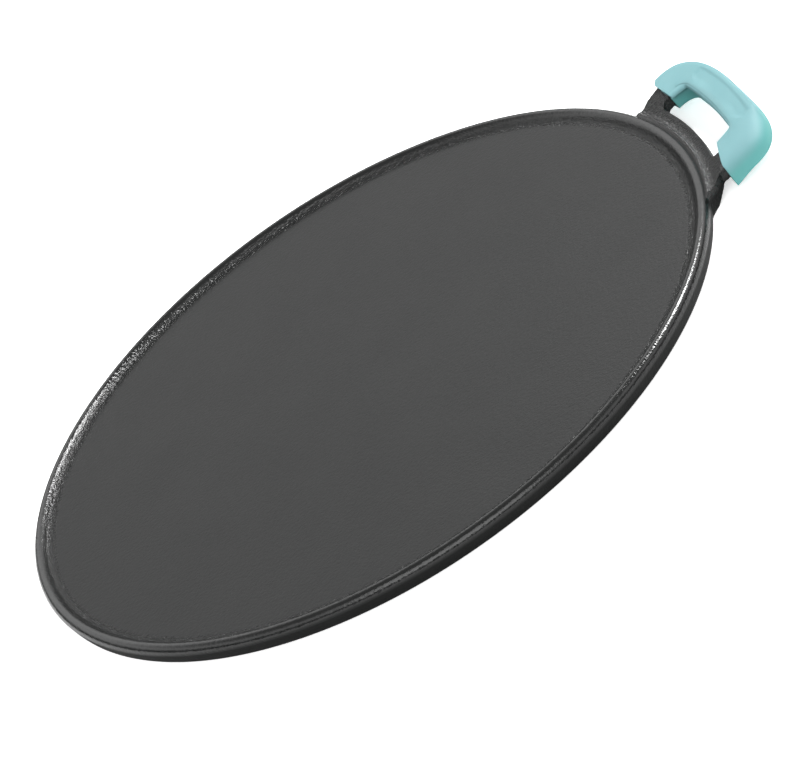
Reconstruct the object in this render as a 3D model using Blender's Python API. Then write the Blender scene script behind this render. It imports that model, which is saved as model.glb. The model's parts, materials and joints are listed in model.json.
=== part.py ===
"""Round cast-iron griddle with one loop handle and a slip-on silicone handle sleeve.

Frame: metres, +Z up. The griddle lies flat on its underside at z = 0, centred on the Z axis,
and the handle points to +X. Everything is symmetrical about the XZ plane.
The loop handle rises from the rim at HANDLE_RISE, and the sleeve slides off along that slope.
"""

import math

import bmesh
import bpy
from mathutils import Matrix

# Griddle disc, all from the underside up and from the centre out
DISC_RADIUS = 0.1509          # outermost point of the side wall
FLOOR_HEIGHT = 0.00575        # cooking surface above the underside
FLOOR_INSET = 0.0091          # the cooking surface ends and the fillet begins this far inside it
BEAD_INSET = 0.0029           # so far inside it is the crest circle of the raised rim bead
BEAD_RISE = 0.00285           # bead crest above the cooking surface
# Outside and inside halves of the bead, as shares of its width and height
BEAD_OUTSIDE = ((0.80, 0.15), (0.62, 0.60), (0.38, 0.90), (0.0, 1.0))
BEAD_INSIDE = (
    (0.15, 0.96), (0.28, 0.83), (0.40, 0.63), (0.52, 0.42), (0.64, 0.24), (0.76, 0.10), (0.88, 0.03), (1.0, 0.0)
)
GROOVE_DEPTH = 0.0013         # groove outside the bead, below its crest
GROOVE_INSET = 0.0007         # and the groove's circle this far inside
WALL_DRAFT = 0.0012           # the side wall leans in by this much at the bottom
BOTTOM_ROUND = 0.0020
SHOULDER_ROUND = 0.0009
DISC_SEGMENTS = 96

# Loop handle, in its own sloping frame: u runs outwards along the slope, v across, w out of it
HANDLE_RISE = math.radians(10.0)
HANDLE_INSET = 0.0009         # the frame's origin is this far inside the side wall
HANDLE_LEVEL = 0.0064         # height of the handle's middle plane there
IRON_THICKNESS = 0.0050
IRON_ROUND = 0.0010
LOOP_REACH = 0.0288           # u of the loop's outermost point
LOOP_HALF = 0.0433            # half the loop's width over the legs
LEG_WIDTH = 0.0143
BAR_WIDTH = 0.0086            # the cross bar of the loop, along u
CORNER_START = 0.0104         # u where the outer corners begin
CORNER_POWER = 2.7            # squareness of the outer corners
GAP_CORNER = 0.0080           # corner radius of the finger gap
GAP_BOW = 0.0012              # the cross bar bows out by this much at its middle
LEG_TAPER = 0.0038            # a leg's top narrows by this much from the sleeve to the rim
FOOT_SPREAD = 0.0016          # a leg's foot is this much wider at the underside
WEB_WIDTH = 0.0064            # the web between the legs stands out from the side wall by this much
WEB_FILLET = 0.0030           # fillet in plan between the web's edge and a leg
WEB_CLIMB = 0.0012            # the web's top rises by this much from the rim to its edge
RIDGE_INSET = 0.0005          # the handle's root starts this far inside it, outside the groove
RIDGE_RISE = 0.0006           # and this far above the groove
SINK = 0.0003                 # buried parts of the handle stay this far under the cooking surface
ROOT_FILLET = 0.0080          # fillet in plan between a leg and the side wall
FOOT_INSET = 0.0006           # its top and its inner side stay this far inside the leg's sides
ROOT_REACH = 0.0018           # a leg's foot ends this far outside the disc
ROOT_TOP = 0.0072             # a leg's foot rises to this height
FOOT_LIFT = 0.0003            # and its underside clears the ground by this much

# Silicone sleeve around the loop
FIT_GAP = 0.0003              # clearance between sleeve and iron, all round
SLEEVE_WALL = 0.0018          # walls above and below the iron
SLEEVE_SIDE = 0.0021          # wall outside the iron
SLEEVE_FLARE = 0.0014         # the skirt stands out by this much at the bottom
SLEEVE_ROUND = 0.0024         # rounding of the outer top edge
SLEEVE_END = 0.0105           # u where the sleeve's ends are, at their inner corners
SLEEVE_END_SLANT = 0.0022     # the outer top corners of the ends reach this much further in
SLEEVE_BEAK = 0.0042          # and the outer bottom corners this much
TOP_LIP = 0.0034              # the top wall overhangs the iron into the finger gap
BOTTOM_LIP = 0.0004           # the bottom wall does so much less
SLEEVE_EDGE = 0.0006          # rounding of the outer bottom edge
END_RUN = 0.0060              # the ends' slant fades out over this length
STEP_HALF = 0.0002            # half the height of the step between the two lips

ARC_STEPS = 22                # points along half of a loop outline
FOOT_STEPS = 5                # spans along the plan fillet of a foot
FILLET_STEPS = 4              # and along a web fillet
WEB_STEPS = 12                # spans along the web's edge
UNION_BITE = 0.0100           # how far the handle's root is sunk into the disc
CLEAR = 0.0100                # how far a cutting guide runs past what it cuts

HANDLE_START = DISC_RADIUS - HANDLE_INSET
WEB_RADIUS = DISC_RADIUS + WEB_WIDTH


def new_object(name, mesh_bm, colour, roughness, metallic):
    mesh = bpy.data.meshes.new(name)
    bmesh.ops.recalc_face_normals(mesh_bm, faces=mesh_bm.faces)
    mesh_bm.to_mesh(mesh)
    mesh_bm.free()
    obj = bpy.data.objects.new(name, mesh)
    bpy.context.scene.collection.objects.link(obj)
    if colour is not None:
        material = bpy.data.materials.new(name)
        material.use_nodes = True
        shader = material.node_tree.nodes["Principled BSDF"]
        shader.inputs["Base Color"].default_value = (*colour, 1.0)
        shader.inputs["Roughness"].default_value = roughness
        shader.inputs["Metallic"].default_value = metallic
        mesh.materials.append(material)
    return obj


def new_guide(name, mesh_bm):
    """A helper solid for a Boolean, kept out of the build."""
    obj = new_object(name, mesh_bm, None, 0.5, 0.0)
    obj.hide_render = True
    obj.display_type = "WIRE"
    return obj


def combine(target, guide, operation):
    modifier = target.modifiers.new(guide.name, "BOOLEAN")
    modifier.operation = operation
    modifier.solver = "EXACT"
    modifier.object = guide


def shade_round(obj):
    mesh = obj.data
    mesh.polygons.foreach_set("use_smooth", [True] * len(mesh.polygons))
    mesh.set_sharp_from_angle(angle=math.radians(35.0))


def arc(centre, radius, start, end, steps):
    """Points on an arc, with angles in degrees, both ends included."""
    points = []
    for i in range(steps + 1):
        angle = math.radians(start + (end - start) * i / steps)
        points.append((centre[0] + radius * math.cos(angle), centre[1] + radius * math.sin(angle)))
    return points


def disc_profile():
    """Half section of the disc as (radius, height), from the underside to the cooking surface."""
    crest = FLOOR_HEIGHT + BEAD_RISE
    groove = crest - GROOVE_DEPTH
    foot = DISC_RADIUS - WALL_DRAFT
    profile = arc((foot - BOTTOM_ROUND, BOTTOM_ROUND), BOTTOM_ROUND, -90.0, 0.0, 4)
    profile += arc((DISC_RADIUS - SHOULDER_ROUND, groove - SHOULDER_ROUND), SHOULDER_ROUND, 10.0, 90.0, 3)
    bead = DISC_RADIUS - BEAD_INSET
    outside = DISC_RADIUS - GROOVE_INSET - bead
    for share, rise in BEAD_OUTSIDE:
        profile.append((bead + outside * share, groove + GROOVE_DEPTH * rise))
    inside = FLOOR_INSET - BEAD_INSET
    for share, rise in BEAD_INSIDE:
        profile.append((bead - inside * share, FLOOR_HEIGHT + BEAD_RISE * rise))
    return profile


def griddle_disc():
    profile = disc_profile()
    bm = bmesh.new()
    rings = []
    for radius, height in profile:
        ring = []
        for i in range(DISC_SEGMENTS):
            angle = 2.0 * math.pi * i / DISC_SEGMENTS
            ring.append(bm.verts.new((radius * math.cos(angle), radius * math.sin(angle), height)))
        rings.append(ring)
    for lower, upper in zip(rings, rings[1:]):
        for i in range(DISC_SEGMENTS):
            j = (i + 1) % DISC_SEGMENTS
            bm.faces.new((lower[i], lower[j], upper[j], upper[i]))
    for ring, height in ((rings[0], 0.0), (rings[-1], FLOOR_HEIGHT)):
        centre = bm.verts.new((0.0, 0.0, height))
        for i in range(DISC_SEGMENTS):
            bm.faces.new((ring[i], ring[(i + 1) % DISC_SEGMENTS], centre))
    return new_object("griddle_casting", bm, (0.055, 0.056, 0.054), 0.55, 0.6)


def handle_frame():
    """Carries the handle's own (u, v, w) into the griddle's frame."""
    origin = Matrix.Translation((HANDLE_START, 0.0, HANDLE_LEVEL))
    return origin @ Matrix.Rotation(-HANDLE_RISE, 4, "Y")


def outer_outline(grow, start):
    """Outline of the loop seen from above, grown by a wall, from one leg round to the other.

    The legs run straight from u = start, and the corners follow a superellipse.
    """
    reach = LOOP_REACH + grow - CORNER_START
    half = LOOP_HALF + grow
    right = []
    for i in range(5):
        right.append((start + (CORNER_START - start) * i / 4, half))
    for i in range(1, ARC_STEPS + 1):
        angle = 0.5 * math.pi * i / ARC_STEPS
        across = half * math.cos(angle) ** (2.0 / CORNER_POWER)
        along = CORNER_START + reach * math.sin(angle) ** (2.0 / CORNER_POWER)
        right.append((along, across if i < ARC_STEPS else 0.0))
    left = [(along, -across) for along, across in reversed(right[:-1])]
    return right + left


def inner_outline(shrink, start, count):
    """Outline of the finger gap between the legs, made smaller by shrink, with count points."""
    half = LOOP_HALF - LEG_WIDTH - shrink
    top = LOOP_REACH - BAR_WIDTH - shrink
    corner = max(GAP_CORNER - shrink, 0.0005)
    edge = half - corner
    lines = [(start, half), (top - GAP_BOW - corner, half)]
    lines += arc((top - GAP_BOW - corner, edge), corner, 90.0, 0.0, 8)[1:]
    for i in range(1, 7):
        share = 1.0 - i / 6.0
        lines.append((top - GAP_BOW * share ** 2, edge * share))
    lengths = [0.0]
    for a, b in zip(lines, lines[1:]):
        lengths.append(lengths[-1] + math.dist(a, b))
    right = []
    steps = (count - 1) // 2
    for i in range(steps + 1):
        goal = lengths[-1] * i / steps
        k = 0
        while k < len(lengths) - 2 and lengths[k + 1] < goal:
            k += 1
        share = (goal - lengths[k]) / (lengths[k + 1] - lengths[k])
        a, b = lines[k], lines[k + 1]
        right.append((a[0] + (b[0] - a[0]) * share, a[1] + (b[1] - a[1]) * share))
    right[-1] = (top, 0.0)
    left = [(u, -v) for u, v in reversed(right[:-1])]
    return right + left


def loft_band(levels):
    """A closed U-shaped band from levels of (outer outline, inner outline, w)."""
    bm = bmesh.new()
    loops = []
    for outer, inner, w in levels:
        ring = [bm.verts.new((u, v, w)) for u, v in outer]
        ring += [bm.verts.new((u, v, w)) for u, v in reversed(inner)]
        loops.append(ring)
    size = len(loops[0])
    half = size // 2
    for lower, upper in zip(loops, loops[1:]):
        for i in range(size):
            j = (i + 1) % size
            bm.faces.new((lower[i], lower[j], upper[j], upper[i]))
    for ring in (loops[0], loops[-1]):
        for i in range(half - 1):
            bm.faces.new((ring[i], ring[i + 1], ring[size - 2 - i], ring[size - 1 - i]))
    bm.transform(handle_frame())
    return bm


def rounded_levels(half_thickness, rounding):
    """Pairs of (w, inset) that round the two long edges of a band."""
    side = half_thickness - rounding
    inset = rounding * (1.0 - math.cos(math.pi / 4.0))
    lift = rounding * math.sin(math.pi / 4.0)
    below = [(-half_thickness, rounding), (-side - lift, inset), (-side, 0.0)]
    return below + [(side, 0.0), (side + lift, inset), (half_thickness, rounding)]


def gap_outline(inset, count):
    """The finger gap, from the left leg's web fillet round the loop and back along the web's edge."""
    half = LOOP_HALF - LEG_WIDTH + inset
    edge = WEB_RADIUS - inset
    centre_v = half - WEB_FILLET
    centre_u = math.sqrt((edge + WEB_FILLET) ** 2 - centre_v ** 2) - HANDLE_START
    turn = math.degrees(math.atan2(centre_v, centre_u + HANDLE_START))
    fillet = arc((centre_u, centre_v), WEB_FILLET, 90.0, 180.0 + turn, FILLET_STEPS)
    right = [(u, -v) for u, v in fillet[1:]]
    left = list(reversed(fillet[1:]))
    web = arc((-HANDLE_START, 0.0), edge, -turn, turn, WEB_STEPS)
    return inner_outline(-inset, centre_u, count) + right + web[1:-1] + left


def handle_plate():
    """Legs, cross bar and web of the loop in one plate, starting inside the disc."""
    start = -UNION_BITE
    rings = []
    bm = bmesh.new()
    for w, inset in rounded_levels(IRON_THICKNESS / 2.0, IRON_ROUND):
        outer = [(u, tapered(u, v)) for u, v in outer_outline(-inset, start)]
        gap = gap_outline(inset, len(outer))
        spare = len(gap) - len(outer)
        first, last = outer[0][1], outer[-1][1]
        for i in range(spare):
            outer.append((start, last + (first - last) * (i + 1) / (spare + 1)))
        rings.append([[bm.verts.new((u, v, w)) for u, v in ring] for ring in (outer, gap)])
    size = len(rings[0][0])
    for lower, upper in zip(rings, rings[1:]):
        for side in (0, 1):
            for i in range(size):
                j = (i + 1) % size
                bm.faces.new((lower[side][i], lower[side][j], upper[side][j], upper[side][i]))
    for outer, gap in (rings[0], rings[-1]):
        for i in range(size):
            j = (i + 1) % size
            bm.faces.new((outer[i], outer[j], gap[j], gap[i]))
    bm.transform(handle_frame())
    return new_guide("plate_guide", bm)


def tapered(u, v):
    """Draws a leg's outer side in between the sleeve's end and the rim."""
    end = SLEEVE_END - SLEEVE_BEAK - FIT_GAP
    share = min(max((end - u) / (end + ROOT_REACH), 0.0), 1.0)
    return v - math.copysign(LEG_TAPER * share, v) if v else v


def leg_foot(side):
    """The thick foot of one leg, filleted into the side wall and curved up below."""
    half_out = LOOP_HALF + FOOT_SPREAD
    half_in = LOOP_HALF - LEG_WIDTH + FOOT_INSET
    rim = DISC_RADIUS - WALL_DRAFT / 2.0
    centre_v = half_out + ROOT_FILLET
    centre_x = math.sqrt((rim + ROOT_FILLET) ** 2 - centre_v ** 2)
    touch = math.degrees(math.atan2(centre_v, centre_x))
    fillet = arc((centre_x, centre_v), ROOT_FILLET, 180.0 + touch, 270.0, FOOT_STEPS)
    inside = DISC_RADIUS - UNION_BITE
    bm = bmesh.new()
    rings = []
    steps = 6
    for i in range(steps + 1):
        lean = 0.5 * math.pi * i / steps
        height = FOOT_LIFT + (ROOT_TOP - FOOT_LIFT) * (1.0 - math.cos(lean))
        reach = DISC_RADIUS + ROOT_REACH * math.sin(lean)
        last = max(reach, centre_x + STEP_HALF)
        narrow = (FOOT_SPREAD + LEG_TAPER + FOOT_INSET) * height / ROOT_TOP
        outline = [(inside * math.cos(math.radians(touch)), inside * math.sin(math.radians(touch)))]
        outline += [(x, y - narrow * k / FOOT_STEPS) for k, (x, y) in enumerate(fillet)]
        outline += [(last, LOOP_HALF - narrow), (last, half_in), (inside, half_in)]
        rings.append([bm.verts.new((x, side * y, height)) for x, y in outline])
    count = len(rings[0])
    for lower, upper in zip(rings, rings[1:]):
        for i in range(count):
            j = (i + 1) % count
            bm.faces.new((lower[i], lower[j], upper[j], upper[i]))
    bm.faces.new(rings[0])
    bm.faces.new(list(reversed(rings[-1])))
    return new_guide("foot_guide_left" if side > 0 else "foot_guide_right", bm)


def rim_relief():
    """Clears the handle's root away from the bead and gives it a gently rising, dished top."""
    groove = FLOOR_HEIGHT + BEAD_RISE - GROOVE_DEPTH
    ridge = DISC_RADIUS - RIDGE_INSET
    section = [(ridge, FLOOR_HEIGHT - SINK), (ridge, groove + RIDGE_RISE)]
    section += [(WEB_RADIUS, groove + RIDGE_RISE + WEB_CLIMB)]
    section += [(WEB_RADIUS + IRON_THICKNESS, groove + RIDGE_RISE + 3.0 * WEB_CLIMB)]
    section += [(WEB_RADIUS + IRON_THICKNESS, groove + CLEAR)]
    bm = bmesh.new()
    rings = []
    for radius, height in section:
        ring = []
        for i in range(DISC_SEGMENTS):
            angle = 2.0 * math.pi * (i + 0.5) / DISC_SEGMENTS
            ring.append(bm.verts.new((radius * math.cos(angle), radius * math.sin(angle), height)))
        rings.append(ring)
    for lower, upper in zip(rings, rings[1:]):
        for i in range(DISC_SEGMENTS):
            j = (i + 1) % DISC_SEGMENTS
            bm.faces.new((lower[i], lower[j], upper[j], upper[i]))
    bm.faces.new(rings[0])
    bm.faces.new(list(reversed(rings[-1])))
    return new_guide("relief_guide", bm)


def griddle_casting():
    casting = griddle_disc()
    handle = handle_plate()
    for side in (1.0, -1.0):
        combine(handle, leg_foot(side), "UNION")
    combine(handle, rim_relief(), "DIFFERENCE")
    combine(casting, handle, "UNION")
    shade_round(casting)
    return casting


def end_shift(v, w_share):
    """How far the sleeve's end reaches in, at v across and at a share of its height, 0 at the bottom."""
    inner = LOOP_HALF - LEG_WIDTH
    outer = LOOP_HALF + SLEEVE_SIDE
    share = min(max((abs(v) - inner) / (outer - inner), 0.0), 1.0)
    return (SLEEVE_BEAK + (SLEEVE_END_SLANT - SLEEVE_BEAK) * w_share) * share


def handle_sleeve():
    """A channel around the loop from outside, open to the finger gap along its inner edge."""
    cavity_half = IRON_THICKNESS / 2.0 + FIT_GAP
    outside_half = cavity_half + SLEEVE_WALL
    levels = []
    for w, inset in sleeve_levels(outside_half):
        w_share = 0.5 + 0.5 * w / outside_half
        flare = SLEEVE_FLARE * (1.0 - w_share)
        grow = SLEEVE_SIDE + FIT_GAP + flare - inset
        outer = outer_outline(grow, SLEEVE_END)
        outer = [(u - end_shift(v, w_share) * straightness(u), v) for u, v in outer]
        lip = TOP_LIP if w > 0.0 else BOTTOM_LIP
        inner = inner_outline(lip - inset * 0.3, SLEEVE_END, len(outer))
        levels.append((outer, inner, w))
    sleeve = new_object("handle_sleeve", loft_band(levels), (0.27, 0.60, 0.61), 0.45, 0.0)
    combine(sleeve, cavity_guide(cavity_half), "DIFFERENCE")
    shade_round(sleeve)
    return sleeve


def straightness(u):
    """1 at the sleeve's ends, falling to 0 where the corners begin."""
    return min(max((SLEEVE_END + END_RUN - u) / END_RUN, 0.0), 1.0)


def sleeve_levels(half_thickness):
    """Pairs of (w, inset): a soft top edge, a plain bottom edge, a step at the middle."""
    side = half_thickness - SLEEVE_ROUND
    levels = [(-half_thickness, SLEEVE_EDGE), (-half_thickness + SLEEVE_EDGE, 0.0)]
    levels += [(-STEP_HALF, 0.0), (STEP_HALF, 0.0)]
    for angle in (0.0, 30.0, 60.0, 90.0):
        lift = SLEEVE_ROUND * math.sin(math.radians(angle))
        inset = SLEEVE_ROUND * (1.0 - math.cos(math.radians(angle)))
        levels.append((side + lift, inset))
    return levels


def cavity_guide(half_thickness):
    """The space for the iron: the loop's outline plus the fit gap, open inwards and at the ends."""
    start = SLEEVE_END - SLEEVE_BEAK - CLEAR
    outer = outer_outline(FIT_GAP, start)
    inner = inner_outline(CLEAR, start, len(outer))
    levels = [(outer, inner, -half_thickness), (outer, inner, half_thickness)]
    return new_guide("cavity_guide", loft_band(levels))


def slide_axis():
    """An empty on the slope that the sleeve slides along; the sleeve hangs on it."""
    empty = bpy.data.objects.new("sleeve_slide", None)
    empty.matrix_world = handle_frame()
    bpy.context.scene.collection.objects.link(empty)
    return empty


def main():
    for obj in list(bpy.data.objects):
        bpy.data.objects.remove(obj, do_unlink=True)
    griddle_casting()
    sleeve = handle_sleeve()
    axis = slide_axis()
    bpy.context.view_layer.update()
    sleeve.parent = axis
    sleeve.matrix_parent_inverse = axis.matrix_world.inverted()


main()
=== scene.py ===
import json
import math

import bmesh
import bpy
from mathutils import Matrix, Vector


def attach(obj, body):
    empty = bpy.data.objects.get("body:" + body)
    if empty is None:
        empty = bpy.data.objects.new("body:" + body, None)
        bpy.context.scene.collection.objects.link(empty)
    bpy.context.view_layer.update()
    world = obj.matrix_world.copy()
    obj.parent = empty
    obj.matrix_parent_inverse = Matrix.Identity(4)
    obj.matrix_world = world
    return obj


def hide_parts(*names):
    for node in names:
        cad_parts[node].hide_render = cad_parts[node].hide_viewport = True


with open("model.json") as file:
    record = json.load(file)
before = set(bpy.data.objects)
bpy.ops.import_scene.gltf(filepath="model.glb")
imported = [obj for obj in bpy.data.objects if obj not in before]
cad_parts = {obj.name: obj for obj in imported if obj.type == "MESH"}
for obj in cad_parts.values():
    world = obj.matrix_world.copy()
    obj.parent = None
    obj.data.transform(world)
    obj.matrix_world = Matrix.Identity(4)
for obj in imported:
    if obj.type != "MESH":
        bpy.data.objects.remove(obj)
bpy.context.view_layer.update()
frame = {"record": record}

# All sizes are in metres, in the griddle's own frame
FLOOR = frame["record"]["mounts"][1]["pos_m"][2]
TURNS = 540
WELD = 1e-6

# Half section of the disc as (radius, height), from the rounded foot up the wall, over the shoulder and
# the crest, and down the inner slope to the cooking surface
RIM_SECTION = (
    (0.14760, 0.00000), (0.14840, 0.00006), (0.14895, 0.00020), (0.14940, 0.00050), (0.14975, 0.00100),
    (0.15000, 0.00180), (0.15025, 0.00280), (0.15050, 0.00390), (0.15070, 0.00490), (0.15082, 0.00560),
    (0.15083, 0.00615), (0.15072, 0.00662), (0.15056, 0.00702), (0.15038, 0.00736), (0.15018, 0.00765),
    (0.14997, 0.00789), (0.14976, 0.00808), (0.14955, 0.00823), (0.14934, 0.00835), (0.14912, 0.00845),
    (0.14888, 0.00852), (0.14858, 0.00857), (0.14822, 0.00860), (0.14790, 0.00860),
    (0.14765, 0.00856), (0.14740, 0.00851), (0.14715, 0.00843), (0.14690, 0.00830), (0.14665, 0.00814),
    (0.14640, 0.00796), (0.14615, 0.00774), (0.14590, 0.00748), (0.14565, 0.00720), (0.14540, 0.00690),
    (0.14515, 0.00662), (0.14490, 0.00638), (0.14460, 0.00616), (0.14430, 0.00602), (0.14388, 0.00595),
    (0.14348, 0.00586), (0.14304, 0.00579), (0.14258, 0.00575), (0.14215, 0.00572), (0.14180, 0.00571),
    (0.14140, 0.00573), (0.14090, FLOOR),
)

# Loop handle, in its sloping frame: u outwards along the slope, v across, w out of it
RISE = math.radians(10.0)
START = 0.1500
LEVEL = 0.0064
THICK = 0.0050
REACH = 0.0288
HALF = 0.0433
LEG = 0.0133
BAR = 0.0086
CORNER = 0.0104
SQUARENESS = 2.7
GAP_CORNER = 0.0080
BOW = 0.0012
WEB_EDGE = 0.1573
WEB_FILLET = 0.0032
BITE = 0.0100
LEFT_TAPER = 0.0034
RIGHT_TAPER = 0.0012
OUTLINE_POINTS = 140
WEB_POINTS = 50

# Skin of the handle after its parts are cast together
VOXEL = 0.00042
SMOOTHING = 9
KEPT_FACES = 0.30

# Roots of the legs as outlines seen from above, from the wall round the leg and back into the wall
LEFT_FOOT = (
    (0.1400, 0.0470), (0.1425, 0.0454), (0.1446, 0.0440), (0.1462, 0.0430), (0.1480, 0.0418),
    (0.1498, 0.0408), (0.1510, 0.0400), (0.1514, 0.0390), (0.1516, 0.0370), (0.1514, 0.0340),
    (0.1508, 0.0310), (0.1497, 0.0296), (0.1460, 0.0290), (0.1370, 0.0290),
)
RIGHT_FOOT = (
    (0.1392, -0.0538), (0.1414, -0.0513), (0.1434, -0.0493), (0.1454, -0.0476), (0.1474, -0.0461),
    (0.1492, -0.0446), (0.1508, -0.0434), (0.1518, -0.0418), (0.1520, -0.0385), (0.1517, -0.0340),
    (0.1509, -0.0310), (0.1497, -0.0296), (0.1460, -0.0290), (0.1370, -0.0290),
)
LEFT_FOOT_HEIGHT = 0.0068
RIGHT_FOOT_HEIGHT = 0.0093
LEFT_FOOT_NARROWING = 0.040
RIGHT_FOOT_NARROWING = 0.016
FOOT_BOTTOM = 0.00025
FOOT_CLIMB = 0.0040
FOOT_CLIMB_START = 0.1448
FOOT_CLIMB_LENGTH = 0.0085
FOOT_GROWTH = (1.02, 1.04, 1.06, 1.08, 1.08)
FOOT_CENTRE = (0.1440, 0.0290)

# Plain rim under the skin, as (radius, height), and the half angle that it spans behind the handle
CORE_SECTION = (
    (0.1380, 0.0003), (0.1476, 0.0003), (0.1492, 0.0016), (0.1499, 0.0040), (0.1505, 0.0062),
    (0.1498, 0.0069), (0.1380, 0.0050), (0.1380, 0.0003),
)
CORE_SPAN = 26.0
CORE_STEPS = 60

# What the cutter leaves of the web's top, as (radius, height): rim side, ridge, dish, rise towards the loop
RIDGE_SECTION = (
    (0.1300, 0.00520), (0.15000, 0.00520), (0.15004, 0.00742), (0.15018, 0.00748), (0.15036, 0.00762),
    (0.15058, 0.00783), (0.15082, 0.00800), (0.15110, 0.00811), (0.15140, 0.00815), (0.15170, 0.00811),
    (0.15200, 0.00799), (0.15230, 0.00781), (0.15262, 0.00764), (0.15300, 0.00753), (0.15350, 0.00750),
    (0.15410, 0.00756), (0.15470, 0.00771), (0.15530, 0.00794), (0.15590, 0.00822), (0.15650, 0.00850),
    (0.15730, 0.00880), (0.15840, 0.00930), (0.15980, 0.01030), (0.16300, 0.01320), (0.16300, 0.03000),
    (0.1300, 0.03000),
)

# Sleeve section as (line, offset, w). Line 0 is the lip over the finger gap, 1 the iron's gap side and
# 2 its outside; a number between them is a share of the way from one line to the next
SLEEVE_SECTION = (
    (0, 0.0008, 0.0029), (0, 0.0003, 0.0028), (0, 0.0, 0.0029), (0, 0.0, 0.0033), (0, 0.0003, 0.0037),
    (0, 0.0008, 0.0040), (0, 0.0015, 0.00425), (0, 0.0024, 0.00425), (0, 0.0035, 0.00438),
    (0.9, 0.0, 0.00446), (1.25, 0.0, 0.00453), (1.40, 0.0, 0.00455), (1.55, 0.0, 0.00455),
    (1.70, 0.0, 0.00455), (1.84, 0.0, 0.00453), (2, -0.0008, 0.00453), (2, -0.0002, 0.00451),
    (2, 0.0004, 0.00449), (2, 0.0010, 0.00433), (2, 0.0015, 0.00425), (2, 0.0019, 0.00380),
    (2, 0.0022, 0.00310), (2, 0.0024, 0.0022), (2, 0.00245, 0.0010), (2, 0.0025, -0.0006),
    (2, 0.0026, -0.0020), (2, 0.0026, -0.0032), (2, 0.0026, -0.0037), (2, 0.0024, -0.0041),
    (2, 0.0019, -0.00425), (2, 0.0010, -0.0043), (1.9, 0.0, -0.0043), (1.6, 0.0, -0.0043),
    (1.3, 0.0, -0.0043), (1, 0.0002, -0.0043), (1, -0.0008, -0.0041), (1, -0.0013, -0.0036),
    (1, -0.0014, -0.0028), (1, -0.0014, -0.0010), (1, -0.0014, 0.0008), (1, -0.0013, 0.0016),
    (1, -0.0010, 0.0020), (1, -0.0006, 0.0020), (1, -0.0004, 0.0016), (1, -0.0004, -0.0010),
    (1, -0.0004, -0.0028), (1.5, 0.0, -0.0028), (2, 0.0003, -0.0028), (2, 0.0003, 0.0),
    (2, 0.0003, 0.0028), (1.5, 0.0, 0.0028), (1, 0.0, 0.0028), (0.6, 0.0, 0.0028),
)
SLEEVE_STATIONS = 161
SLEEVE_START = 0.0105
OUTER_WALL = 0.0003
WIDER_LEFT = 0.0006
WIDER_RIGHT = 0.0007

# Ends of the sleeve: how far each one reaches in along its leg, its drooping corner, its flare at the foot
LEFT_END = -0.0016
LEFT_CORNER = (0.0405, 0.0460, 0.0020)
RIGHT_END = -0.0052
END_SLANT = (0.0255, 0.0425)
END_LENGTH = 0.0080
BEAK = 0.0010
SKIRT = 0.0016
SKIRT_LENGTH = 0.0050

# Edge of the sleeve's top wall over the finger gap
LIP_HALF = 0.0246
LIP_REACH = 0.0186
LIP_CORNER = 0.0013
LIP_BOW = 0.0010

# How square the two corners of the sleeve's outer wall are
LEFT_SQUARENESS = 2.75
RIGHT_SQUARENESS = 3.5

# Points of the section that roll over in one curve on the right leg, that curve's top, foot, start, end
# and squareness, and where across the handle it sets in
ROLL_FIRST = 10
ROLL_LAST = 25
ROLL_TOP = 0.00453
ROLL_FOOT = -0.0020
ROLL_IN = 0.25
ROLL_OUT = 0.0033
ROLL_POWER = 2.0 / 3.0
ROLL_BLEND = (0.0230, 0.0350)

# Shallow panel sunk into the top of the sleeve's cross bar
PANEL_DEPTH = 0.00036
PANEL_EDGE = 0.0007
PANEL_HALF = 0.0260
PANEL_NEAR = REACH - BAR + 0.0016
PANEL_FAR = REACH + 0.0002
PANEL_BOW = 2.6
PANEL_LOWEST = 0.0042

# Finish of the iron by radius: roughness, then strength of the coarse grain. Inner slope, crest, web
RIM_ROUGHNESS = (
    (0.1412, 0.45), (0.1425, 0.28), (0.1452, 0.24), (0.1466, 0.14), (0.1507, 0.15), (0.1512, 0.25),
    (0.1535, 0.30),
)
RIM_COARSENESS = (
    (0.1412, 0.16), (0.1424, 0.85), (0.1448, 0.80), (0.1460, 0.30), (0.1478, 0.12), (0.1507, 0.14),
    (0.1512, 0.75), (0.1533, 0.85),
)

# Heights between which the iron goes from matt to glossy
MATT_BELOW = 0.0045
GLOSSY_ABOVE = 0.0068

# Brightness of the studio's dome by the sine of the height above the horizon
SKY = ((0.00, 0.01), (0.10, 0.04), (0.26, 0.40), (0.38, 1.65), (0.58, 1.50), (0.80, 0.40))


def eased(value):
    """Runs smoothly from 0 to 1 and stays there on both sides."""
    value = min(max(value, 0.0), 1.0)
    return value * value * (3.0 - 2.0 * value)


def between(value, low, high):
    """Share of the way from one limit to another, 0 before the first and 1 after the second."""
    return min(max((value - low) / (high - low), 0.0), 1.0)


def handle_frame():
    """From the handle's sloping frame to the griddle's."""
    return Matrix.Translation((START, 0.0, LEVEL)) @ Matrix.Rotation(-RISE, 4, "Y")


def none_chosen():
    if bpy.context.mode != "OBJECT":
        bpy.ops.object.mode_set(mode="OBJECT")
    bpy.ops.object.select_all(action="DESELECT")


def named(name):
    piece = bpy.context.object
    piece.name = name
    piece.data.name = name
    return piece


def only(piece):
    none_chosen()
    piece.select_set(True)
    bpy.context.view_layer.objects.active = piece


def close_up(piece):
    """Welds what touches and turns every face outwards."""
    only(piece)
    bpy.ops.object.mode_set(mode="EDIT")
    bpy.ops.mesh.select_all(action="SELECT")
    bpy.ops.mesh.remove_doubles(threshold=WELD)
    bpy.ops.mesh.normals_make_consistent(inside=False)
    bpy.ops.object.mode_set(mode="OBJECT")


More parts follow.
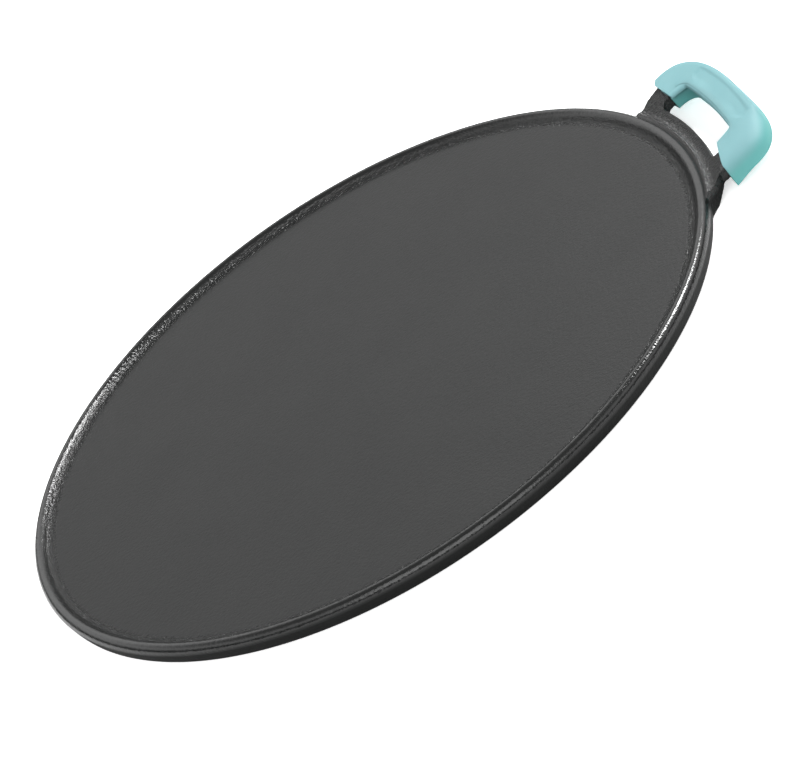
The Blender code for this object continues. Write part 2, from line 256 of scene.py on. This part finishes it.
def fill_ends(piece):
    """Welds a tube and closes its two open ends."""
    close_up(piece)
    bpy.ops.object.mode_set(mode="EDIT")
    bpy.ops.mesh.select_all(action="SELECT")
    bpy.ops.mesh.fill_holes(sides=0)
    bpy.ops.mesh.normals_make_consistent(inside=False)
    bpy.ops.object.mode_set(mode="OBJECT")


def finish_with(piece, kind, **settings):
    """Adds a modifier and applies it."""
    only(piece)
    modifier = piece.modifiers.new(kind.lower(), kind)
    for key, value in settings.items():
        setattr(modifier, key, value)
    bpy.ops.object.modifier_apply(modifier=modifier.name)


def cut_or_join(piece, tool, operation):
    finish_with(piece, "BOOLEAN", operation=operation, solver="EXACT", object=tool)
    bpy.data.objects.remove(tool, do_unlink=True)


def turned(name, section, turns):
    """A ring is drawn and pulled up along a half section, then both ends are closed with a fan."""
    none_chosen()
    bpy.ops.mesh.primitive_circle_add(vertices=turns, radius=section[0][0], location=(0, 0, section[0][1]))
    piece = named(name)
    bpy.ops.object.transform_apply(location=True, rotation=True, scale=True)
    bpy.ops.object.mode_set(mode="EDIT")
    bpy.ops.mesh.select_all(action="SELECT")
    bpy.ops.mesh.edge_face_add()
    bpy.ops.mesh.poke()
    bpy.ops.mesh.select_all(action="DESELECT")
    radius, height = section[0]
    bm = bmesh.from_edit_mesh(piece.data)
    for edge in bm.edges:
        edge.select_set(all(abs(v.co.xy.length - radius) < 1e-5 for v in edge.verts))
    bmesh.update_edit_mesh(piece.data)
    for next_radius, next_height in section[1:]:
        bpy.ops.mesh.extrude_edges_move(TRANSFORM_OT_translate={"value": (0, 0, next_height - height)})
        size = next_radius / radius
        bpy.ops.transform.resize(value=(size, size, 1.0), center_override=(0, 0, 0))
        radius, height = next_radius, next_height
    bpy.ops.mesh.edge_face_add()
    bpy.ops.mesh.poke()
    close_up(piece)
    return piece


def arc(centre, radius, start, end, steps):
    """Points of an arc from one angle to another, in degrees."""
    points = []
    for i in range(steps + 1):
        angle = math.radians(start + (end - start) * i / steps)
        points.append(Vector((centre[0] + radius * math.cos(angle), centre[1] + radius * math.sin(angle))))
    return points


def mirrored(half):
    """A line drawn as far as the middle, completed with its own mirror image."""
    return half + [Vector((p.x, -p.y)) for p in reversed(half[:-1])]


def bowed(top, bow, half, steps):
    """The gap's far side from a corner to the middle, bowed outwards."""
    points = []
    for i in range(1, steps + 1):
        share = 1.0 - i / steps
        points.append(Vector((top - bow * share ** 2, half * share)))
    return points


def spaced(line, count):
    """The same line with its points evenly spaced."""
    lengths = [0.0]
    for a, b in zip(line, line[1:]):
        lengths.append(lengths[-1] + (b - a).length)
    points = []
    k = 0
    for i in range(count):
        goal = lengths[-1] * i / (count - 1)
        while k < len(lengths) - 2 and lengths[k + 1] < goal:
            k += 1
        share = (goal - lengths[k]) / max(lengths[k + 1] - lengths[k], 1e-9)
        points.append(line[k].lerp(line[k + 1], min(max(share, 0.0), 1.0)))
    return points


def loop_outside(start, count):
    """Outline of the loop from the left leg round to the right one, in (u, v)."""
    line = [Vector((start, HALF))]
    for i in range(41):
        angle = 0.5 * math.pi * i / 40
        across = HALF * max(math.cos(angle), 0.0) ** (2.0 / SQUARENESS)
        along = CORNER + (REACH - CORNER) * math.sin(angle) ** (2.0 / SQUARENESS)
        line.append(Vector((along, across if i < 40 else 0.0)))
    return spaced(mirrored(line), count)


def loop_inside(start, count):
    """The same for the finger gap's side."""
    half = HALF - LEG
    top = REACH - BAR
    line = [Vector((start, half))]
    line += arc((top - BOW - GAP_CORNER, half - GAP_CORNER), GAP_CORNER, 90.0, 0.0, 12)
    line += bowed(top, BOW, half - GAP_CORNER, 12)
    return spaced(mirrored(line), count)


def web_side(count):
    """Where the web's edge starts, and the edge with its fillets from the right leg to the left one."""
    half = HALF - LEG - WEB_FILLET
    out = math.sqrt((WEB_EDGE + WEB_FILLET) ** 2 - half ** 2)
    turn = math.degrees(math.atan2(half, out))
    right = [Vector((p.x, -p.y)) for p in arc((out - START, half), WEB_FILLET, 90.0, 180.0 + turn, 8)]
    web = arc((-START, 0.0), WEB_EDGE, -turn, turn, 40)
    left = [Vector((p.x, -p.y)) for p in reversed(right)]
    return out - START, spaced(right + web[1:-1] + left, count)


def sheet(name, rows):
    """A grid laid over rows of points, each row closed on itself when its ends meet."""
    none_chosen()
    bpy.ops.mesh.primitive_grid_add(x_subdivisions=len(rows[0]) - 1, y_subdivisions=len(rows) - 1, size=1.0)
    piece = named(name)
    flat = [value for row in rows for point in row for value in point]
    piece.data.vertices.foreach_set("co", flat)
    piece.data.update()
    return piece


def slab(name, outside, inside, thickness, place):
    """A flat ring of iron between two outlines, given its thickness by an extrusion."""
    rows = [[Vector((p.x, p.y, -thickness / 2)) for p in line] for line in (outside, inside)]
    piece = sheet(name, rows)
    bpy.ops.object.mode_set(mode="EDIT")
    bpy.ops.mesh.select_all(action="SELECT")
    bpy.ops.mesh.remove_doubles(threshold=WELD)
    bpy.ops.mesh.extrude_region_move(TRANSFORM_OT_translate={"value": (0, 0, thickness)})
    bpy.ops.object.mode_set(mode="OBJECT")
    piece.data.transform(place)
    close_up(piece)
    return piece


def drawn_in(point):
    """A leg's outer side closes in towards the rim, more on the left than on the right."""
    amount = LEFT_TAPER if point.y > 0.0 else RIGHT_TAPER
    share = min(max(1.0 - point.x / CORNER, 0.0), 1.4)
    return Vector((point.x, point.y - math.copysign(amount * share, point.y)))


def handle_slab():
    """The loop and its web as one plate, closed inside the disc."""
    start, web = web_side(WEB_POINTS)
    outside = [drawn_in(p) for p in loop_outside(-BITE, OUTLINE_POINTS)]
    inside = loop_inside(start, OUTLINE_POINTS)
    closing = [outside[-1].lerp(outside[0], i / (WEB_POINTS - 1)) for i in range(WEB_POINTS)]
    return slab("handle", outside + closing, inside + web, THICK, handle_frame())


def foot(outline, height, narrowing):
    """The thick root of one leg: an outline blended into the wall, pulled up and out under the leg."""
    none_chosen()
    bpy.ops.mesh.primitive_circle_add(vertices=len(outline), fill_type="NGON")
    piece = named("foot")
    points = []
    for x, y in outline:
        points.append((x, y, FOOT_BOTTOM + FOOT_CLIMB * eased((x - FOOT_CLIMB_START) / FOOT_CLIMB_LENGTH)))
    piece.data.vertices.foreach_set("co", [value for point in points for value in point])
    bpy.ops.object.mode_set(mode="EDIT")
    bpy.ops.mesh.select_all(action="SELECT")
    centre = (FOOT_CENTRE[0], math.copysign(FOOT_CENTRE[1], outline[0][1]), 0.0)
    lift = (height - FOOT_BOTTOM) / len(FOOT_GROWTH)
    for longer in FOOT_GROWTH:
        bpy.ops.mesh.extrude_region_move(TRANSFORM_OT_translate={"value": (0, 0, lift)})
        bpy.ops.transform.resize(value=(longer, 1.0 - narrowing, 1.0), center_override=centre)
    bpy.ops.object.mode_set(mode="OBJECT")
    for vertex in piece.data.vertices:
        vertex.co.z = min(vertex.co.z, height)
    close_up(piece)
    return piece


def rim_core():
    """A stretch of plain rim just under the disc's skin, which the handle's fillets flow onto."""
    rows = []
    for i in range(CORE_STEPS + 1):
        angle = math.radians(CORE_SPAN * (2.0 * i / CORE_STEPS - 1.0))
        rows.append([Vector((r * math.cos(angle), r * math.sin(angle), z)) for r, z in CORE_SECTION])
    piece = sheet("core", rows)
    fill_ends(piece)
    return piece


def ridge_tool():
    """Turned cutter that leaves the ridge behind the rim and the dished top of the web."""
    return turned("ridge_tool", RIDGE_SECTION, TURNS)


def joined(pieces, name):
    none_chosen()
    for piece in pieces:
        piece.select_set(True)
    bpy.context.view_layer.objects.active = pieces[0]
    bpy.ops.object.join()
    return named(name)


def cast_handle():
    """Plate, roots and rim core run together into one skin with soft fillets."""
    plate = handle_slab()
    left = foot(LEFT_FOOT, LEFT_FOOT_HEIGHT, LEFT_FOOT_NARROWING)
    right = foot(RIGHT_FOOT, RIGHT_FOOT_HEIGHT, RIGHT_FOOT_NARROWING)
    handle = joined([plate, left, right, rim_core()], "handle")
    finish_with(handle, "REMESH", mode="VOXEL", voxel_size=VOXEL, adaptivity=0.0)
    finish_with(handle, "SMOOTH", factor=0.5, iterations=SMOOTHING)
    finish_with(handle, "DECIMATE", ratio=KEPT_FACES)
    cut_or_join(handle, ridge_tool(), "DIFFERENCE")
    return handle


def griddle():
    disc = turned("griddle", RIM_SECTION, TURNS)
    cut_or_join(disc, cast_handle(), "UNION")
    only(disc)
    bpy.ops.object.shade_smooth_by_angle(angle=math.radians(32.0))
    return disc


def lip_line(count):
    """Edge of the sleeve's top wall over the gap, nearly straight on the legs and bowed on the bar."""
    line = [Vector((SLEEVE_START, LIP_HALF + 0.0012)), Vector((SLEEVE_START + 0.0040, LIP_HALF + 0.0005))]
    line += arc((LIP_REACH - LIP_BOW - LIP_CORNER, LIP_HALF - LIP_CORNER), LIP_CORNER, 90.0, 0.0, 8)
    line += bowed(LIP_REACH, LIP_BOW, LIP_HALF - LIP_CORNER, 12)
    return spaced(mirrored(line), count)


def sleeve_side(count):
    """Outline that the sleeve's outer wall follows: squarer than the iron's, most at the right."""
    line = []
    for i in range(81):
        angle = 0.5 * math.pi * (1.0 - i / 40)
        squareness = LEFT_SQUARENESS if i < 40 else RIGHT_SQUARENESS
        across = HALF * math.copysign(abs(math.sin(angle)) ** (2.0 / squareness), angle)
        along = SLEEVE_START + (REACH - SLEEVE_START) * math.cos(angle) ** (2.0 / squareness)
        line.append(Vector((along, across if i != 40 else 0.0)))
    return spaced(line, count)


def rounded(index, point, w, near, wall):
    """On the right leg the top wall rolls over into the outer one in a single wide curve."""
    if not ROLL_FIRST <= index <= ROLL_LAST:
        return point, w
    share = eased(between(-point.y, *ROLL_BLEND))
    start = near.lerp(wall, ROLL_IN)
    end = wall + (wall - near).normalized() * ROLL_OUT
    turn = 0.5 * math.pi * (index - ROLL_FIRST) / (ROLL_LAST - ROLL_FIRST)
    across = math.sin(turn) ** ROLL_POWER
    height = ROLL_FOOT + (ROLL_TOP - ROLL_FOOT) * max(math.cos(turn), 0.0) ** ROLL_POWER
    return point.lerp(start.lerp(end, across), share), w + (height - w) * share


def end_shift(point, w):
    """How far the sleeve's end reaches in: slanted, with the outer lower corner drooping."""
    if point.y > 0.0:
        first, last, back = LEFT_CORNER
        out = LEFT_END + back * eased(between(point.y, first, last))
    else:
        out = RIGHT_END
    across = between(abs(point.y), *END_SLANT)
    low = 1.0 - between(w, -0.0046, 0.0046)
    return out * across - BEAK * across * low


def sleeve_point(line, offset, lip, near, far, wall):
    """A point of the section; outside the iron it follows the wall's own outline."""
    if line >= 2:
        span = (wall - near).normalized()
        spread = WIDER_LEFT * eased(far.y / 0.030) + WIDER_RIGHT * eased(-far.y / 0.030)
        if offset <= OUTER_WALL:
            return far + (far - near).normalized() * offset
        return wall + span * (offset + spread * eased((offset - OUTER_WALL) / 0.0015))
    if line >= 1:
        return near.lerp(far, line - 1) + (far - near).normalized() * offset
    return lip.lerp(near, line) + (near - lip).normalized() * offset


def panel(point, w):
    """Depth of the shallow panel at a point of the sleeve, nothing outside its edges."""
    if w < PANEL_LOWEST:
        return 0.0
    along = eased((PANEL_HALF - abs(point.y)) / PANEL_EDGE)
    far = eased((PANEL_FAR - PANEL_BOW * point.y ** 2 - point.x) / PANEL_EDGE)
    near = eased((point.x - PANEL_NEAR) / PANEL_EDGE)
    return PANEL_DEPTH * along * far * near


def section_row(lip, near, far, wall):
    """The sleeve's section at one place along the loop, closed on its first point."""
    place = handle_frame()
    row = []
    for index, (line, offset, w) in enumerate(SLEEVE_SECTION + SLEEVE_SECTION[:1]):
        point = sleeve_point(line, offset, lip, near, far, wall)
        point, w = rounded(index, point, w, near, wall)
        along = point.x - SLEEVE_START
        if line >= 2 and offset > OUTER_WALL:
            skirt = SKIRT * (1.0 - eased(along / SKIRT_LENGTH)) * (1.0 - eased(between(w, -0.0035, 0.0010)))
            point.y += math.copysign(skirt, point.y)
        point.x += end_shift(point, w) * (1.0 - eased(along / END_LENGTH))
        row.append(place @ Vector((point.x, point.y, w - panel(point, w))))
    return row


def sleeve():
    """A sheet of silicone wrapped round the loop: closed along its section, then its ends are filled."""
    lips = lip_line(SLEEVE_STATIONS)
    insides = loop_inside(SLEEVE_START, SLEEVE_STATIONS)
    outsides = loop_outside(SLEEVE_START, SLEEVE_STATIONS)
    walls = sleeve_side(SLEEVE_STATIONS)
    rows = [section_row(*places) for places in zip(lips, insides, outsides, walls)]
    piece = sheet("handle_sleeve_silicone", rows)
    fill_ends(piece)
    sharp = math.radians(50.0)
    finish_with(piece, "BEVEL", width=0.0004, segments=2, limit_method="ANGLE", angle_limit=sharp)
    only(piece)
    bpy.ops.object.shade_smooth_by_angle(angle=math.radians(40.0))
    return piece


def shade(piece, material):
    piece.data.materials.clear()
    piece.data.materials.append(material)


def node(tree, kind, place, **values):
    made = tree.nodes.new(kind)
    made.location = place
    for key, value in values.items():
        if hasattr(made, key):
            setattr(made, key, value)
        else:
            made.inputs[key].default_value = value
    return made


def grey_stops(ramp, stops):
    """Sets a ramp's stops from (position, brightness) pairs."""
    elements = ramp.color_ramp.elements
    while len(elements) < len(stops):
        elements.new(0.5)
    for element, (position, value) in zip(elements, stops):
        element.position = position
        element.color = (value, value, value, 1)


def spread_over(tree, value, low, high, results, place):
    """Maps a value between two limits onto a pair of results."""
    spread = node(tree, "ShaderNodeMapRange", place)
    spread.inputs["From Min"].default_value = low
    spread.inputs["From Max"].default_value = high
    spread.inputs["To Min"].default_value = results[0]
    spread.inputs["To Max"].default_value = results[1]
    tree.links.new(value, spread.inputs["Value"])
    return spread


def by_radius(tree, radius, stops, place):
    """A value that changes with the distance from the disc's axis, in metres, around the rim."""
    inner, outer = 0.1400, 0.1600
    ramp = node(tree, "ShaderNodeValToRGB", place)
    spread = spread_over(tree, radius, inner, outer, (0.0, 1.0), (place[0] - 220, place[1]))
    tree.links.new(spread.outputs["Result"], ramp.inputs["Fac"])
    grey_stops(ramp, [((distance - inner) / (outer - inner), value) for distance, value in stops])
    return ramp.outputs["Color"]


def distance_from_axis(tree, coords):
    flat = node(tree, "ShaderNodeVectorMath", (-1700, 400), operation="MULTIPLY")
    flat.inputs[1].default_value = (1.0, 1.0, 0.0)
    reach = node(tree, "ShaderNodeVectorMath", (-1500, 400), operation="LENGTH")
    tree.links.new(coords.outputs["Object"], flat.inputs[0])
    tree.links.new(flat.outputs["Vector"], reach.inputs[0])
    return reach.outputs["Value"]


def seasoned_iron():
    """Black oiled cast iron: even on the cooking surface, glossy on the crest, coarse on slope and web."""
    material = bpy.data.materials.new("seasoned_iron")
    material.use_nodes = True
    tree = material.node_tree
    shader = tree.nodes["Principled BSDF"]
    shader.inputs["Metallic"].default_value = 0.0
    shader.inputs["IOR"].default_value = 1.5
    coords = node(tree, "ShaderNodeTexCoord", (-1900, 0))
    radius = distance_from_axis(tree, coords)
    grain = node(tree, "ShaderNodeTexNoise", (-1100, 200), Scale=1300.0, Detail=3.0, Roughness=0.65)
    pebble = node(tree, "ShaderNodeTexNoise", (-1100, -100), Scale=760.0, Detail=2.0, Roughness=0.6)
    patch = node(tree, "ShaderNodeTexNoise", (-1100, -400), Scale=30.0, Detail=4.0, Roughness=0.55)
    for texture in (grain, pebble, patch):
        tree.links.new(coords.outputs["Object"], texture.inputs["Vector"])
    tint = node(tree, "ShaderNodeValToRGB", (-700, -300))
    tint.color_ramp.elements[0].position = 0.3
    tint.color_ramp.elements[0].color = (0.0062, 0.0067, 0.0065, 1)
    tint.color_ramp.elements[1].position = 0.7
    tint.color_ramp.elements[1].color = (0.0085, 0.0090, 0.0087, 1)
    tree.links.new(patch.outputs["Fac"], tint.inputs["Fac"])
    tree.links.new(tint.outputs["Color"], shader.inputs["Base Color"])
    gloss = by_radius(tree, radius, RIM_ROUGHNESS, (-700, 50))
    split = node(tree, "ShaderNodeSeparateXYZ", (-1500, 700))
    tree.links.new(coords.outputs["Object"], split.inputs["Vector"])
    height = split.outputs["Z"]
    sheen = spread_over(tree, height, MATT_BELOW, GLOSSY_ABOVE, (0.13, 0.50), (-1200, 700))
    matt = spread_over(tree, height, MATT_BELOW, GLOSSY_ABOVE, (0.62, 0.0), (-1200, 950))
    rougher = node(tree, "ShaderNodeMath", (-400, 100), operation="MAXIMUM")
    tree.links.new(gloss, rougher.inputs[0])
    tree.links.new(matt.outputs["Result"], rougher.inputs[1])
    tree.links.new(rougher.outputs["Value"], shader.inputs["Roughness"])
    tree.links.new(sheen.outputs["Result"], shader.inputs["Specular IOR Level"])
    coarse = by_radius(tree, radius, RIM_COARSENESS, (-700, 500))
    low = node(tree, "ShaderNodeBump", (-400, -150), Distance=0.0011)
    tree.links.new(pebble.outputs["Fac"], low.inputs["Height"])
    tree.links.new(coarse, low.inputs["Strength"])
    fine = node(tree, "ShaderNodeBump", (-200, -150), Strength=0.24, Distance=0.00026)
    tree.links.new(grain.outputs["Fac"], fine.inputs["Height"])
    tree.links.new(low.outputs["Normal"], fine.inputs["Normal"])
    tree.links.new(fine.outputs["Normal"], shader.inputs["Normal"])
    return material


def teal_silicone():
    """Soft teal silicone with painted shade: its colour is darker and deeper down its walls and underneath
    than on its lit top.
    """
    material = bpy.data.materials.new("teal_silicone")
    material.use_nodes = True
    tree = material.node_tree
    shader = tree.nodes["Principled BSDF"]
    shader.inputs["Roughness"].default_value = 0.62
    shader.inputs["Subsurface Weight"].default_value = 0.15
    shader.inputs["Subsurface Radius"].default_value = (0.0012, 0.0020, 0.0020)
    shader.inputs["Subsurface Scale"].default_value = 1.0
    coords = node(tree, "ShaderNodeTexCoord", (-1200, 0))
    cloud = node(tree, "ShaderNodeTexNoise", (-900, 100), Scale=90.0, Detail=3.0)
    skin = node(tree, "ShaderNodeTexNoise", (-900, -200), Scale=2200.0, Detail=2.0)
    for texture in (cloud, skin):
        tree.links.new(coords.outputs["Object"], texture.inputs["Vector"])
    tint = node(tree, "ShaderNodeValToRGB", (-600, 100))
    tint.color_ramp.elements[0].color = (0.138, 0.300, 0.322, 1)
    tint.color_ramp.elements[1].color = (0.160, 0.328, 0.350, 1)
    tree.links.new(cloud.outputs["Fac"], tint.inputs["Fac"])
    # Painted shade: by height across the handle, the base colour runs from the lighter teal of the top face
    # to a darker, deeper teal on the walls, the flap and the underside, standing in for the shade there
    normal = Vector((-math.sin(RISE), 0.0, math.cos(RISE)))
    middle = normal.dot(Vector((START, 0.0, LEVEL)))
    height = node(tree, "ShaderNodeVectorMath", (-900, 400), operation="DOT_PRODUCT")
    height.inputs[1].default_value = normal
    tree.links.new(coords.outputs["Object"], height.inputs[0])
    low, high = middle - 0.0008, middle + 0.0040
    lit_top_share = spread_over(tree, height.outputs["Value"], low, high, (0.0, 1.0), (-600, 400))
    lit_top_share.interpolation_type = "SMOOTHSTEP"
    painted_shade_mix = node(tree, "ShaderNodeMix", (-250, 200), data_type="RGBA")
    factor, first, second = painted_shade_mix.inputs[0], painted_shade_mix.inputs[6], painted_shade_mix.inputs[7]
    first.default_value = (0.085, 0.310, 0.300, 1)
    tree.links.new(lit_top_share.outputs["Result"], factor)
    tree.links.new(tint.outputs["Color"], second)
    tree.links.new(painted_shade_mix.outputs[2], shader.inputs["Base Color"])
    bump = node(tree, "ShaderNodeBump", (-400, -200), Strength=0.12, Distance=0.0001)
    tree.links.new(skin.outputs["Fac"], bump.inputs["Height"])
    tree.links.new(bump.outputs["Normal"], shader.inputs["Normal"])
    return material


def pale_floor():
    """A plain white floor, lifted a little where it is looked at directly."""
    none_chosen()
    bpy.ops.mesh.primitive_plane_add(size=6.0)
    floor = named("studio_floor")
    material = bpy.data.materials.new("pale_floor")
    material.use_nodes = True
    tree = material.node_tree
    shader = tree.nodes["Principled BSDF"]
    shader.inputs["Base Color"].default_value = (0.96, 0.96, 0.96, 1)
    shader.inputs["Roughness"].default_value = 0.9
    shader.inputs["Specular IOR Level"].default_value = 0.1
    shader.inputs["Emission Color"].default_value = (1, 1, 1, 1)
    seen = node(tree, "ShaderNodeLightPath", (-400, -200))
    lift = spread_over(tree, seen.outputs["Is Camera Ray"], 0.0, 1.0, (0.0, 0.55), (-200, -200))
    tree.links.new(lift.outputs["Result"], shader.inputs["Emission Strength"])
    shade(floor, material)


def lamp(name, direction, distance, size, watts):
    """A soft box, aimed at the middle of the griddle from a direction."""
    place = Vector(direction).normalized() * distance
    none_chosen()
    bpy.ops.object.light_add(type="AREA", location=place)
    light = bpy.context.object
    light.name = name
    light.data.shape = "RECTANGLE"
    light.data.size = size[0]
    light.data.size_y = size[1]
    light.data.energy = watts
    light.rotation_euler = (-place).to_track_quat("-Z", "Y").to_euler()


def sky():
    """A studio dome: dark at the horizon, brightest part of the way up, plain white where looked at."""
    world = bpy.data.worlds.new("studio")
    bpy.context.scene.world = world
    world.use_nodes = True
    tree = world.node_tree
    light = tree.nodes["Background"]
    coords = node(tree, "ShaderNodeTexCoord", (-1000, 0))
    split = node(tree, "ShaderNodeSeparateXYZ", (-800, 0))
    ramp = node(tree, "ShaderNodeValToRGB", (-600, 0))
    tree.links.new(coords.outputs["Generated"], split.inputs["Vector"])
    tree.links.new(split.outputs["Z"], ramp.inputs["Fac"])
    grey_stops(ramp, SKY)
    backdrop = node(tree, "ShaderNodeBackground", (-100, -150), Color=(1, 1, 1, 1), Strength=1.0)
    seen = node(tree, "ShaderNodeLightPath", (-100, 250))
    choice = node(tree, "ShaderNodeMixShader", (150, 0))
    tree.links.new(ramp.outputs["Color"], light.inputs["Color"])
    tree.links.new(seen.outputs["Is Camera Ray"], choice.inputs["Fac"])
    tree.links.new(light.outputs["Background"], choice.inputs[1])
    tree.links.new(backdrop.outputs["Background"], choice.inputs[2])
    tree.links.new(choice.outputs["Shader"], tree.nodes["World Output"].inputs["Surface"])


def studio():
    """The dome, a narrow key lamp over the handle's side and a wide lamp in front."""
    sky()
    lamp("key", (0.602, 0.347, 0.719), 1.2, (0.60, 0.14), 15.0)
    lamp("fill", (-0.10, -0.80, 0.60), 3.2, (3.0, 2.2), 42.0)


def camera():
    """A long lens from the front and above, rolled so that the handle is at the upper right."""
    roll = math.radians(35.25)
    tilt = math.radians(-61.68)
    turn = Matrix.Rotation(roll, 3, "Z") @ Matrix.Rotation(tilt, 3, "X")
    rim_centre = Vector((0.0, 0.0, 0.0085))
    shift = Vector((-0.01536, 0.006405, -1.5)) - turn @ rim_centre
    none_chosen()
    bpy.ops.object.camera_add()
    made = bpy.context.object
    made.data.sensor_width = 36.0
    made.data.lens = 174.96
    made.data.clip_end = 20.0
    world = turn.transposed().to_4x4()
    world.translation = -(turn.transposed() @ shift)
    made.matrix_world = world
    bpy.context.scene.camera = made


def main():
    iron = griddle()
    shade(iron, seasoned_iron())
    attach(iron, "griddle")
    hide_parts("griddle_casting")
    grip = sleeve()
    shade(grip, teal_silicone())
    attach(grip, "sleeve")
    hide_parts("handle_sleeve")
    pale_floor()
    studio()
    camera()
    bpy.context.scene.view_settings.view_transform = "Standard"


main()
